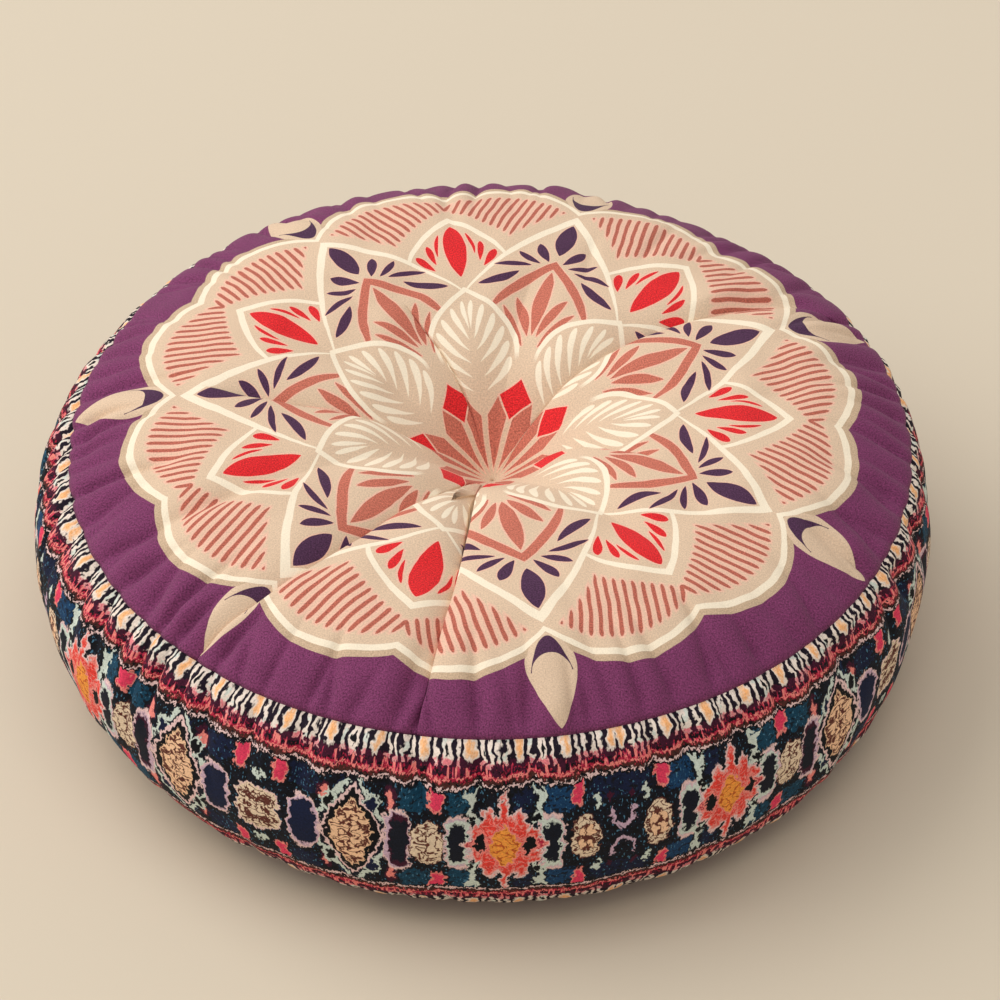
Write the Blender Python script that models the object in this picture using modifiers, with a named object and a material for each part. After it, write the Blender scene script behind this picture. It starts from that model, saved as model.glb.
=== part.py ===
"""Round boxed floor cushion with a tufted middle, lying flat.

Three sewn pieces: a round top panel that crowns up from its seam and dives into a deep tuft, the
side band, and a plain round bottom panel. The side band's solid carries the filling, so it is one
filled body with its crown, its pit and its drawn-in sides, and the two panels lie on it as sheets.

Metres, +Z up. The origin is the middle of the flat patch that the cushion rests on.
"""

import math
from collections import namedtuple

import bmesh
import bpy

# Overall form
SEAM_RADIUS = 0.280        # circle of the upper seam
SEAM_HEIGHT = 0.163
CROWN_RISE = 0.036         # how far the top stands above its seam
CROWN_POWER = 8.0          # how square the shoulder is
PIT_DEPTH = 0.084          # how far the tuft is drawn down from the crown
PIT_WIDTH = 0.045
PIT_POWER = 1.24
SIDE_BULGE = 0.0255        # how far the side stands out past its two seams
BULGE_POWER = 0.7
FOOT_SEAM_RADIUS = 0.266   # circle of the lower seam
FOOT_SEAM_HEIGHT = 0.010
REST_RADIUS = 0.236        # flat patch on the floor

# Cloth
CLOTH_THICKNESS = 0.002
PIECE_GAP = 0.0003         # clearance between two pieces that touch

# Facets
SPOKES = 64
CROWN_RINGS = 14
SIDE_RINGS = 8
FOOT_ROLL_RINGS = 3
FLAT_RINGS = 2
EVEN_SHARE = 0.4           # rest of the crown's rings crowd towards the pit and the seam
WELD_DISTANCE = 0.00005
SLOPE_STEP = 0.0005        # step used to read a profile's slope

# Creases that run out from the tuft. Bearings are degrees, counter-clockwise from +X.
Crease = namedtuple("Crease", "name bearing_at_tuft bearing_at_seam reach depth half_width")
CREASES = (
    Crease("front", -95, -100, 0.280, 0.0085, 0.015),
    Crease("front_left", -117, -132, 0.280, 0.0070, 0.017),
    Crease("back_right", 46, 27, 0.262, 0.0080, 0.016),
    Crease("left", 179, 174, 0.150, 0.0050, 0.014),
    Crease("back_left", 112, 122, 0.140, 0.0045, 0.013),
    Crease("right", -14, -22, 0.150, 0.0045, 0.014),
    Crease("back", 84, 78, 0.130, 0.0035, 0.013),
    Crease("front_right", -60, -52, 0.165, 0.0040, 0.014),
)
CREASE_ONSET = 0.045       # radius by which a crease has its full depth
CREASE_FADE = 5.0          # how late a crease fades towards its end

# Soft upright swells of the side wall: how many round the cushion, how proud, and where one peaks.
Swell = namedtuple("Swell", "count height peak")
SIDE_SWELLS = (
    Swell(6, 0.0010, 20),
    Swell(10, 0.0008, 75),
)

# Colours (linear), roughness
TOP_COLOUR = (0.38, 0.25, 0.20, 1.0)
BAND_COLOUR = (0.06, 0.03, 0.06, 1.0)
BOTTOM_COLOUR = (0.10, 0.03, 0.13, 1.0)
CLOTH_ROUGHNESS = 0.9


def smooth_step(value):
    value = min(max(value, 0.0), 1.0)
    return value * value * (3.0 - 2.0 * value)


def crown_height(radius):
    """Height of the top panel's outer face, before its creases."""
    shoulder = 1.0 - (radius / SEAM_RADIUS) ** CROWN_POWER
    pit = math.exp(-((radius / PIT_WIDTH) ** PIT_POWER))
    return SEAM_HEIGHT + CROWN_RISE * shoulder - PIT_DEPTH * pit


def foot_height(radius):
    """Height of the bottom panel's outer face: flat, then rolling up to the lower seam."""
    roll = max(radius - REST_RADIUS, 0.0) / (FOOT_SEAM_RADIUS - REST_RADIUS)
    return FOOT_SEAM_HEIGHT * roll * roll


def side_radius(share):
    """Radius of the side wall, from the lower seam (share 0) to the upper one (share 1)."""
    straight = FOOT_SEAM_RADIUS + (SEAM_RADIUS - FOOT_SEAM_RADIUS) * share
    return straight + SIDE_BULGE * (4.0 * share * (1.0 - share)) ** BULGE_POWER


def upright_depth(height_of, radius, depth):
    """Upright distance that leaves the given depth square to a sloping face."""
    low = max(radius - SLOPE_STEP, 0.0)
    high = radius + SLOPE_STEP
    slope = (height_of(high) - height_of(low)) / (high - low)
    return depth * math.hypot(1.0, slope)


def crown_radii():
    radii = []
    for ring in range(CROWN_RINGS + 1):
        even = ring / CROWN_RINGS
        crowded = 0.5 - 0.5 * math.cos(math.pi * even)
        radii.append(SEAM_RADIUS * (EVEN_SHARE * even + (1.0 - EVEN_SHARE) * crowded))
    return radii


def foot_radii():
    flat = [REST_RADIUS * ring / FLAT_RINGS for ring in range(FLAT_RINGS + 1)]
    roll = FOOT_SEAM_RADIUS - REST_RADIUS
    return flat + [REST_RADIUS + roll * ring / FOOT_ROLL_RINGS for ring in range(1, FOOT_ROLL_RINGS + 1)]


def crown_line(depth):
    """Line from the tuft out to the upper seam, the given depth below the top's outer face."""
    return [(r, crown_height(r) - upright_depth(crown_height, r, depth)) for r in crown_radii()]


def foot_line(depth):
    """Line from the middle out to the lower seam, the given depth above the bottom's outer face."""
    return [(r, foot_height(r) + upright_depth(foot_height, r, depth)) for r in foot_radii()]


def crease_sag(radius, bearing):
    """How far the top is drawn down at a place by all its creases."""
    sag = 0.0
    for crease in CREASES:
        along = min(radius / crease.reach, 1.0)
        turn = crease.bearing_at_tuft + (crease.bearing_at_seam - crease.bearing_at_tuft) * along
        offset = bearing - math.radians(turn)
        if math.cos(offset) <= 0.0:
            continue
        across = radius * math.sin(offset) / crease.half_width
        lengthwise = smooth_step(radius / CREASE_ONSET) * (1.0 - along ** CREASE_FADE)
        sag += crease.depth * lengthwise * math.exp(-across * across)
    return sag


def side_swell(height, bearing):
    """How far the side wall stands out at a place, over its even bulge."""
    share = (height - FOOT_SEAM_HEIGHT) / (SEAM_HEIGHT - FOOT_SEAM_HEIGHT)
    waist = math.sin(math.pi * min(max(share, 0.0), 1.0))
    swell = 0.0
    for wave in SIDE_SWELLS:
        swell += wave.height * math.cos(wave.count * (bearing - math.radians(wave.peak)))
    return waist * swell


def turned_mesh(name, outline):
    """Closed surface of an outline turned round the Z axis; the outline runs from top to bottom."""
    profile = bpy.data.meshes.new(name + "_outline")
    points = [(radius, 0.0, height) for radius, height in outline]
    edges = [(index, index + 1) for index in range(len(points) - 1)]
    profile.from_pydata(points, edges, [])
    blank = bpy.data.objects.new(name + "_outline", profile)
    bpy.context.scene.collection.objects.link(blank)
    screw = blank.modifiers.new("turn", "SCREW")
    screw.axis = "Z"
    screw.steps = SPOKES
    screw.render_steps = SPOKES
    screw.use_merge_vertices = True
    screw.merge_threshold = WELD_DISTANCE
    bpy.context.view_layer.update()
    turned = blank.evaluated_get(bpy.context.evaluated_depsgraph_get())
    mesh = bpy.data.meshes.new_from_object(turned)
    mesh.name = name
    bpy.data.objects.remove(blank)
    bpy.data.meshes.remove(profile)
    return mesh


def add_folds(mesh):
    """Weld the poles, then draw in the creases and swell the side."""
    work = bmesh.new()
    work.from_mesh(mesh)
    bmesh.ops.remove_doubles(work, verts=work.verts, dist=WELD_DISTANCE)
    crown_floor = SEAM_HEIGHT - PIT_DEPTH
    for vertex in work.verts:
        x, y, z = vertex.co
        radius = math.hypot(x, y)
        bearing = math.atan2(y, x)
        if z > crown_floor and radius < SEAM_RADIUS:
            vertex.co.z -= crease_sag(radius, bearing)
        if radius > FOOT_SEAM_RADIUS:
            grown = 1.0 + side_swell(z, bearing) / radius
            vertex.co.x *= grown
            vertex.co.y *= grown
    bmesh.ops.recalc_face_normals(work, faces=work.faces)
    # The shorter diagonal is the same one on two faces that lie on each other.
    bmesh.ops.triangulate(work, faces=work.faces, quad_method="SHORT_EDGE")
    work.to_mesh(mesh)
    work.free()


def cloth_material(name, colour):
    material = bpy.data.materials.new(name)
    material.use_nodes = True
    shader = material.node_tree.nodes["Principled BSDF"]
    shader.inputs["Base Color"].default_value = colour
    shader.inputs["Roughness"].default_value = CLOTH_ROUGHNESS
    shader.inputs["Metallic"].default_value = 0.0
    return material


def add_piece(collection, name, outline, colour):
    mesh = turned_mesh(name, outline)
    add_folds(mesh)
    mesh.materials.clear()
    mesh.materials.append(cloth_material(name + "_cloth", colour))
    mesh.shade_smooth()
    collection.objects.link(bpy.data.objects.new(name, mesh))


def top_panel_outline():
    outer = crown_line(0.0)
    inner = crown_line(CLOTH_THICKNESS)
    return outer + inner[::-1]


def bottom_panel_outline():
    upper = foot_line(CLOTH_THICKNESS)
    lower = foot_line(0.0)
    return upper + lower[::-1]


def side_band_outline():
    """The filled body: crown under the top panel, bulging side wall, flat foot."""
    crown = crown_line(CLOTH_THICKNESS + PIECE_GAP)
    foot = foot_line(CLOTH_THICKNESS + PIECE_GAP)
    top = crown[-1][1]
    bottom = foot[-1][1]
    side = []
    for ring in range(1, SIDE_RINGS):
        share = 1.0 - ring / SIDE_RINGS
        side.append((side_radius(share), bottom + (top - bottom) * share))
    return crown + side + foot[::-1]


def main():
    for item in list(bpy.data.objects):
        bpy.data.objects.remove(item)
    cushion = bpy.data.collections.new("floor_cushion")
    bpy.context.scene.collection.children.link(cushion)
    add_piece(cushion, "top_panel", top_panel_outline(), TOP_COLOUR)
    add_piece(cushion, "side_band", side_band_outline(), BAND_COLOUR)
    add_piece(cushion, "bottom_panel", bottom_panel_outline(), BOTTOM_COLOUR)


main()
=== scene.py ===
"""Looks of the round boxed floor cushion: printed cloth, folds, puckers, seams and studio."""

import functools
import math
from collections import namedtuple

import bpy
import numpy as np
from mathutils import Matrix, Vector


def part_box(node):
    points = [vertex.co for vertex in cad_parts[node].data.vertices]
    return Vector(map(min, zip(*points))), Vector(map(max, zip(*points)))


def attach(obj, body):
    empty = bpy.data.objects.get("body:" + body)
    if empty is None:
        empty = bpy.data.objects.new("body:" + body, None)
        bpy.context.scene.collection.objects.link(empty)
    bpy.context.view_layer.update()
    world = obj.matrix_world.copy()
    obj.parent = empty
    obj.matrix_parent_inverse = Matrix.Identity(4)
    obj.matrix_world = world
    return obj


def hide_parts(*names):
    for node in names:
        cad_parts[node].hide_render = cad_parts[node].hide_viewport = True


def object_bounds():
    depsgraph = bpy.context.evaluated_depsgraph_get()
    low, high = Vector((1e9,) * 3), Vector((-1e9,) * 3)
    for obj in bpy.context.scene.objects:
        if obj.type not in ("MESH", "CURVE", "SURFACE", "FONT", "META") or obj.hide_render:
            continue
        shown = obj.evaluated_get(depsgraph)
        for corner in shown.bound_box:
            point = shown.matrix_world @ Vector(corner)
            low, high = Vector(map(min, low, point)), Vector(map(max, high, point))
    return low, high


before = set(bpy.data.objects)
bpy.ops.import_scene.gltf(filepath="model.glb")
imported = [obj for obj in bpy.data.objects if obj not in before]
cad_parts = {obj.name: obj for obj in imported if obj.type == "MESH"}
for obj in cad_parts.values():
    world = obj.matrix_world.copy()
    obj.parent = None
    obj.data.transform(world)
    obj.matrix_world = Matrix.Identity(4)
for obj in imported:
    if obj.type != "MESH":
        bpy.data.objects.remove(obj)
cad_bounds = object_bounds()

# ---------------------------------------------------------------------------------------------
# Sizes, in metres, read from the frame where it holds them
# ---------------------------------------------------------------------------------------------
MM = 0.001
top_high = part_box("top_panel")[1]
foot_low, foot_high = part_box("bottom_panel")

SEAM_RADIUS = top_high.x
SEAM_BELOW_CROWN = 0.0350
SEAM_HEIGHT = top_high.z - SEAM_BELOW_CROWN
CROWN_RISE = 0.036
CROWN_POWER = 8.0
PIT_DEPTH = 0.071
PIT_WIDTH = 0.046
PIT_POWER = 1.24
FOOT_SEAM_RADIUS = foot_high.x
FOOT_SEAM_HEIGHT = foot_low.z + 0.010
REST_RADIUS = 0.236
SIDE_BULGE = 0.0250
BULGE_POWER = 0.85              # how round the band's shoulder is, at the sides of the cushion
BULGE_POWER_SWING = 0.15        # rounder at the back, squarer in front
# The filling has settled to one side. Each line holds millimetres all round, millimetres of swing,
# the bearing in degrees where the swing is fullest, and millimetres that the sides go out and the
# front and back go in.
Settling = namedtuple("Settling", "everywhere swing bearing oval")
FOOT_SPREAD = Settling(6.5, 4.5, 285.0, 0.0)
SEAM_SPREAD = Settling(3.0, 1.5, 165.0, 3.0)
SIDE_SPREAD = Settling(1.0, 8.0, 200.0, 0.0)
SLUMP_DEPTH = 7.0               # millimetres that the seam lies lower at its lowest place
SLUMP_BEARING = 55.0
SLUMP_HALF_WIDTH = 27.0
# How late the seam's spread and slump reach the cloth, on the way out to it: powers of the radius
# on the panels and of the height on the band.
TOP_SPREAD_POWER = 8
FOOT_SPREAD_POWER = 3
TOP_SLUMP_POWER = 5
BAND_SLUMP_POWER = 3

# Facets
TOP_SPOKES = 900
TOP_RINGS = 80
BAND_SPOKES = 960
BAND_ROWS = 40
FOOT_SPOKES = 240
FOOT_RINGS = 20
CLOTH_THICKNESS = 1.6 * MM
TINY_RADIUS = 0.15 * MM         # of the first ring round a panel's middle

# ---------------------------------------------------------------------------------------------
# Folds
# ---------------------------------------------------------------------------------------------
# Creases that run out from the tuft. Bearings in degrees, anticlockwise from +X, the rest in
# millimetres. "tuck" is the cloth swallowed on either side, "lip" the roll beside the fold, and
# "lap" is 1 where the anticlockwise side lies over the other and -1 where it lies under.
# "notch" is how far it draws the seam in, and "onset" the radius where it has its full depth.
Crease = namedtuple("Crease", "name tuft_bearing seam_bearing reach tuck lip lap trough "
                    "trough_width notch onset", defaults=(0.0, 56))
DEEP_CREASES = (
    Crease("front_left", -117, -133, 284, 7.0, 3.0, 1, 5.0, 17, 2.4, 85),
    Crease("front", -95, -100, 285, 8.5, 3.6, 1, 5.5, 17, 3.4),
    Crease("right", -16, -26, 125, 3.5, 1.6, -1, 3.0, 16),
    Crease("back_right", 47, 26, 276, 6.5, 3.0, -1, 6.0, 18, 2.2),
    Crease("back_left", 109, 120, 120, 3.0, 1.6, -1, 4.0, 17),
    Crease("left", 184, 174, 196, 6.5, 3.2, 1, 5.0, 17),
)
SOFT_CREASES = (
    Crease("back", 84, 78, 150, 0, 1.8, 0, 4.5, 15),
    Crease("front_right", -60, -50, 200, 0, 2.0, 0, 5.0, 16),
    Crease("far_right", 16, 8, 170, 0, 1.8, 0, 4.5, 15),
    Crease("far_left", 147, 152, 170, 0, 1.8, 0, 4.5, 15),
    Crease("near_left", 208, 206, 262, 0, 1.6, 0, 3.5, 11, 1.4),
)
CREASE_FADE = 9.0
PULL_REACH = 42.0               # how far from a crease its tuck still draws the cloth
SLIT_HALF_WIDTH = 0.3
LIP_REACH = 4.0
# Beside a crease, the side that lies under rolls down deep and wide, and the side that laps over it
# less so: the under side's share of the lip's depth and reach, and how much less the other has.
LIP_SHARE, LIP_LESS = 1.9, 1.4
REACH_SHARE, REACH_LESS = 2.3, 1.7
NOTCH_HALF_WIDTH = 7.0
NOTCH_ROUNDNESS = 1.3
NOTCH_REACH_ON_TOP = 16.0
NOTCH_REACH_ON_BAND = 22.0
LEAST_WIDTH = 0.01              # keeps a tuck from dividing by nothing
LEAST_RADIUS = 1.0

# Short wrinkles away from the tuft: where their middles are, which way they run, and their sizes.
Wrinkle = namedtuple("Wrinkle", "bearing radius heading half_length half_width depth")
WRINKLES = (
    Wrinkle(57, 212, 62, 26, 4.5, 3.3),
    Wrinkle(49, 226, 40, 20, 5.0, 2.7),
    Wrinkle(33, 228, 12, 24, 5.0, 3.6),
    Wrinkle(20, 236, 24, 26, 6.0, 2.7),
    Wrinkle(38, 196, 30, 22, 7.0, -2.4),
    Wrinkle(207, 205, 200, 30, 4.5, 3.0),
    Wrinkle(222, 232, 214, 26, 5.5, 2.4),
    Wrinkle(193, 228, 190, 30, 6.0, 2.25),
    Wrinkle(172, 236, 176, 28, 6.0, 2.4),
    Wrinkle(66, 165, 80, 26, 5.0, 2.1),
    Wrinkle(131, 150, 125, 30, 8.0, 2.4),
    Wrinkle(98, 205, 92, 30, 7.0, 1.95),
    Wrinkle(-75, 178, -70, 30, 8.0, 1.8),
    Wrinkle(-38, 150, -30, 30, 8.0, 2.4),
    Wrinkle(3, 175, 10, 34, 8.0, 2.1),
)

# Short puckers that the seams' gathering leaves across the purple ring and along the band.
Gather = namedtuple("Gather", "count seed depth width length heavy_bearing light_share")
TOP_GATHER = Gather(90, 11, (4.0, 12.5), (3.6, 7.8), (44.0, 96.0), 225.0, 0.66)
FOOT_GATHER = Gather(88, 23, (1.8, 5.0), (4.0, 8.0), (30.0, 70.0), 250.0, 0.6)
PUCKER_STRAY = 0.36             # of the space between two puckers
PUCKER_SLANT = 0.35
PUCKER_AT_SEAM = 0.40           # share of its depth that a pucker has at the seam itself
PUCKER_ONSET = 12.0
PUCKER_ROUNDNESS = 1.2
SWELL_SHARE = 0.24              # height of the swell on either side of a pucker
SWELL_NARROWNESS = 0.36
BAND_PUCKER_STRETCH = 1.1
SEAM_REACH = 26.0               # how far from a seam the band still leans towards it
SEAM_ROLL = 3.0                 # millimetres over which each panel turns in to the seam
SEAM_ROLL_POWER = 1.6
SEAM_TUCK = 1.5                 # how deep it turns in
SEAM_SLOPE = math.sqrt(0.5)
FOOT_FOLD_ONSET = 1.6           # how early on the foot's roll its folds are at their full depth
UNEVEN_SEED = 4
UNEVEN_DEPTH = 0.85             # millimetres that the filling's lumps lift the cloth
UNEVEN_WAVES = 40
UNEVEN_WAVELENGTHS = (32.0, 95.0)
UNEVEN_FROM_TUFT = 90.0         # millimetres over which the lumps fade in
UNEVEN_FROM_SEAM = 20.0


def smooth_step(value):
    value = np.clip(value, 0.0, 1.0)
    return value * value * (3.0 - 2.0 * value)


def turned_away(bearing, other):
    """Signed angle between two bearings, in radians."""
    return (bearing - other + np.pi) % (2.0 * np.pi) - np.pi


def on_circle(radius, bearing, height):
    return np.stack([radius * np.cos(bearing), radius * np.sin(bearing), height], -1)


def settled(settling, bearing):
    """Metres that the filling's settling adds to a radius at this bearing."""
    swing = np.cos(turned_away(bearing, math.radians(settling.bearing)))
    oval = settling.oval * np.cos(2.0 * bearing)
    return (settling.everywhere + settling.swing * swing + oval) * MM


def slump(bearing):
    """How much lower the upper seam lies at this bearing."""
    across = turned_away(bearing, math.radians(SLUMP_BEARING)) / math.radians(SLUMP_HALF_WIDTH)
    return SLUMP_DEPTH * MM * np.exp(-across * across)


def crown_height(radius):
    shoulder = 1.0 - (radius / SEAM_RADIUS) ** CROWN_POWER
    pit = np.exp(-((radius / PIT_WIDTH) ** PIT_POWER))
    return SEAM_HEIGHT + CROWN_RISE * shoulder - PIT_DEPTH * pit


def crown_slope(radius):
    step = 0.1 * MM
    rise = crown_height(radius + step) - crown_height(np.maximum(radius - step, 0.0))
    return rise / (2.0 * step)


def along_crease(crease, radius):
    return np.minimum(radius / (crease.reach * MM), 1.0)


def crease_bearing(crease, radius):
    turn = (crease.seam_bearing - crease.tuft_bearing) * along_crease(crease, radius)
    return np.radians(crease.tuft_bearing + turn)


def crease_strength(crease, radius):
    fade = 1.0 - along_crease(crease, radius) ** CREASE_FADE
    return smooth_step(radius / (crease.onset * MM)) * fade


def make_puckers(gather):
    """An uneven row of puckers round a seam: bearings, depths, widths, lengths and slants."""
    chance = np.random.default_rng(gather.seed)
    spread = np.arange(gather.count) + chance.uniform(-PUCKER_STRAY, PUCKER_STRAY, gather.count)
    bearing = spread * 2.0 * np.pi / gather.count
    heavy = 0.5 + 0.5 * np.cos(turned_away(bearing, math.radians(gather.heavy_bearing)))
    weight = gather.light_share + (1.0 - gather.light_share) * heavy
    depth = chance.uniform(*gather.depth, gather.count) * weight * MM
    width = chance.uniform(*gather.width, gather.count) * MM
    length = chance.uniform(*gather.length, gather.count) * MM
    slant = chance.uniform(-PUCKER_SLANT, PUCKER_SLANT, gather.count)
    return bearing, depth, width, length, slant


TOP_PUCKERS = make_puckers(TOP_GATHER)
FOOT_PUCKERS = make_puckers(FOOT_GATHER)


def pucker_sag(puckers, bearing, inward, stretch=1.0):
    """How deep a seam's puckers are at a place the given distance from the seam."""
    sag = np.zeros_like(bearing)
    onset = smooth_step(inward / (PUCKER_ONSET * MM))
    onset = PUCKER_AT_SEAM + (1.0 - PUCKER_AT_SEAM) * onset
    for at, depth, width, length, slant in zip(*puckers):
        across = (SEAM_RADIUS * turned_away(bearing, at) - slant * inward) / width
        lengthwise = onset * (1.0 - smooth_step(inward / (length * stretch)))
        valley = np.exp(-np.abs(across) ** PUCKER_ROUNDNESS)
        valley -= SWELL_SHARE * np.exp(-(across * SWELL_NARROWNESS) ** 2)
        sag += depth * lengthwise * valley
    return sag


def seam_notch(bearing):
    """How far the deep creases draw the upper seam in where they reach it."""
    sag = np.zeros_like(bearing)
    for crease in DEEP_CREASES + SOFT_CREASES:
        away = SEAM_RADIUS * turned_away(bearing, math.radians(crease.seam_bearing))
        across = np.abs(away) / (NOTCH_HALF_WIDTH * MM)
        sag += crease.notch * MM * np.exp(-across ** NOTCH_ROUNDNESS)
    return sag


def uneven(bearing, radius, height):
    """Low lumps of the filling, which run on from one panel to the next."""
    chance = np.random.default_rng(UNEVEN_SEED)
    x, y = radius * np.cos(bearing), radius * np.sin(bearing)
    total = np.zeros_like(x)
    for _ in range(UNEVEN_WAVES):
        direction = chance.normal(size=3)
        direction /= np.linalg.norm(direction)
        wavelength = chance.uniform(*UNEVEN_WAVELENGTHS) * MM
        phase = chance.uniform(0.0, 2.0 * np.pi)
        along = x * direction[0] + y * direction[1] + height * direction[2]
        total += np.cos(2.0 * np.pi * along / wavelength + phase)
    return UNEVEN_DEPTH * MM * total / math.sqrt(0.5 * UNEVEN_WAVES)


def seam_tuck(distance):
    """How far a panel turns in beside its seam."""
    roll = np.clip(1.0 - distance / (SEAM_ROLL * MM), 0.0, 1.0)
    return SEAM_TUCK * MM * roll ** SEAM_ROLL_POWER


def plain_trough(crease, strength, across):
    soft = np.exp(-((across / (crease.trough_width * MM)) ** 2))
    return crease.trough * MM * strength * soft


def crease_folds(radius, bearing, detail):
    """How far the creases draw the top down, and how far they pull its cloth sideways."""
    sag = np.zeros_like(radius)
    sideways = np.zeros_like(radius)
    for crease in DEEP_CREASES + SOFT_CREASES:
        across = radius * turned_away(bearing, crease_bearing(crease, radius))
        strength = crease_strength(crease, radius)
        sag += plain_trough(crease, strength, across)
        if not detail:
            continue
        away = np.abs(across)
        side = np.sign(across)
        over = 0.5 + 0.5 * side * crease.lap
        lip = crease.lip * MM * strength * (LIP_SHARE - LIP_LESS * over)
        lip_reach = LIP_REACH * MM * (REACH_SHARE - REACH_LESS * over)
        if not crease.tuck:
            sag += crease.lip * MM * strength * np.exp(-away / lip_reach)
            continue
        tuck = crease.tuck * MM * strength
        divisor = np.maximum(tuck, LEAST_WIDTH * MM)
        beyond = np.maximum(away - tuck, 0.0)
        within = np.clip(1.0 - away / divisor, 0.0, 1.0)
        pull = np.maximum(tuck - SLIT_HALF_WIDTH * MM, 0.0)
        pull *= np.exp(-((beyond / (PULL_REACH * MM)) ** 2))
        drawn = np.where(away < tuck, SLIT_HALF_WIDTH * MM * (away / divisor), away - pull)
        sideways += side * (drawn - away)
        bottom = tuck + crease.lip * MM * strength
        swallowed = lip + (bottom - lip) * within
        sag += np.where(away < tuck, swallowed, lip * np.exp(-beyond / lip_reach))
    return sag, sideways


def wrinkle_sag(x, y):
    """How far the short wrinkles draw the top down."""
    sag = np.zeros_like(x)
    for wrinkle in WRINKLES:
        middle, heading = math.radians(wrinkle.bearing), math.radians(wrinkle.heading)
        ahead, aside = math.cos(heading), math.sin(heading)
        from_x = x - wrinkle.radius * MM * math.cos(middle)
        from_y = y - wrinkle.radius * MM * math.sin(middle)
        along = (from_x * ahead + from_y * aside) / (wrinkle.half_length * MM)
        beside = (from_y * ahead - from_x * aside) / (wrinkle.half_width * MM)
        sag += wrinkle.depth * MM * np.exp(-along ** 4) * np.exp(-np.abs(beside) ** 1.5)
    return sag


def top_surface(radius, bearing, puff=0.0, detail=True):
    """Place of the top panel's cloth that was cut at this radius and bearing."""
    sag, sideways = crease_folds(radius, bearing, detail)
    slope = crown_slope(radius)
    level = np.sqrt(1.0 + slope * slope)
    outward = radius / SEAM_RADIUS
    if detail:
        inward = SEAM_RADIUS - radius
        sag += pucker_sag(TOP_PUCKERS, bearing, inward)
        sag += seam_notch(bearing) * np.exp(-inward / (NOTCH_REACH_ON_TOP * MM))
        sag += wrinkle_sag(radius * np.cos(bearing), radius * np.sin(bearing))
        lumps = uneven(bearing, radius, crown_height(radius))
        lumps *= smooth_step(radius / (UNEVEN_FROM_TUFT * MM))
        sag -= lumps * smooth_step(inward / (UNEVEN_FROM_SEAM * MM))
        sag += seam_tuck(inward)
    reach = radius + sag * slope / level
    reach = reach + settled(SEAM_SPREAD, bearing) * outward ** TOP_SPREAD_POWER
    turned = bearing + sideways / np.maximum(radius, LEAST_RADIUS * MM)
    height = crown_height(radius) - sag / level - slump(bearing) * outward ** TOP_SLUMP_POWER
    return on_circle(reach, turned, height) + puff


def band_surface(share, bearing, puff=0.0, detail=True):
    """Place of the side band's cloth, share 0 at the lower seam and 1 at the upper one."""
    foot_radius = FOOT_SEAM_RADIUS + settled(FOOT_SPREAD, bearing)
    seam_radius = SEAM_RADIUS + settled(SEAM_SPREAD, bearing)
    bulge = SIDE_BULGE + settled(SIDE_SPREAD, bearing)
    power = BULGE_POWER + BULGE_POWER_SWING * np.sin(bearing)
    radius = foot_radius + (seam_radius - foot_radius) * share
    radius += bulge * (4.0 * share * (1.0 - share)) ** power
    tall = SEAM_HEIGHT - FOOT_SEAM_HEIGHT
    height = FOOT_SEAM_HEIGHT + tall * share - slump(bearing) * share ** BAND_SLUMP_POWER
    if detail:
        below = (1.0 - share) * tall
        above = share * tall
        near_top = 1.0 - smooth_step(below / (SEAM_REACH * MM))
        near_foot = 1.0 - smooth_step(above / (SEAM_REACH * MM))
        sag = pucker_sag(TOP_PUCKERS, bearing, below, BAND_PUCKER_STRETCH)
        sag += pucker_sag(FOOT_PUCKERS, bearing, above)
        sag += seam_notch(bearing) * np.exp(-below / (NOTCH_REACH_ON_BAND * MM))
        lumps = uneven(bearing, radius, height) * smooth_step(below / (UNEVEN_FROM_SEAM * MM))
        sag -= lumps * smooth_step(above / (UNEVEN_FROM_SEAM * MM))
        sag += seam_tuck(below) + seam_tuck(above)
        radius = radius - sag * (1.0 - (1.0 - SEAM_SLOPE) * np.maximum(near_top, near_foot))
        height = height - sag * SEAM_SLOPE * (near_top - near_foot)
    return on_circle(radius, bearing, height) + puff


def foot_surface(radius, bearing):
    """Place of the bottom panel's cloth: flat, then rolling up to the lower seam."""
    roll = np.clip((radius - REST_RADIUS) / (FOOT_SEAM_RADIUS - REST_RADIUS), 0.0, 1.0)
    inward = FOOT_SEAM_RADIUS - radius
    sag = pucker_sag(FOOT_PUCKERS, bearing, inward) + seam_tuck(inward)
    sag *= smooth_step(roll * FOOT_FOLD_ONSET)
    spread = settled(FOOT_SPREAD, bearing) * (radius / FOOT_SEAM_RADIUS) ** FOOT_SPREAD_POWER
    reach = radius + spread - sag * SEAM_SLOPE
    height = foot_low.z + (FOOT_SEAM_HEIGHT - foot_low.z) * roll * roll + sag * SEAM_SLOPE
    return on_circle(reach, bearing, height)


# ---------------------------------------------------------------------------------------------
# Filling pressure: a coarse cushion is blown up against its tuft, creases and seams
# ---------------------------------------------------------------------------------------------
PUFF_SPOKES = 160
PUFF_TOP_RINGS = 30
PUFF_BAND_ROWS = 20
PUFF_FRAMES = 16
PUFF_PRESSURE = 4.0
PUFF_CAP = 6.0 * MM
PUFF_FIRST_RING = 4.0 * MM
TUFT_RADIUS = 14.0 * MM         # held down by the tuft
CREASE_HOLD = 0.5 * MM          # least distance from a crease that is held down
PUFF_SMOOTHINGS = 2


def even_bearings(count):
    return np.arange(count) * 2.0 * np.pi / count


def ring_faces(rings, spokes, outward):
    """Quads between neighbouring rings of vertices."""
    ring, spoke = np.meshgrid(np.arange(rings - 1), np.arange(spokes), indexing="ij")
    after = (spoke + 1) % spokes
    near, near_after = ring * spokes + spoke, ring * spokes + after
    far, far_after = near + spokes, near_after + spokes
    corners = (near, far, far_after, near_after) if outward else (near, near_after, far_after, far)
    return np.stack(corners, -1).reshape(-1, 4)


def puff_radii():
    return np.linspace(PUFF_FIRST_RING, SEAM_RADIUS, PUFF_TOP_RINGS)


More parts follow.
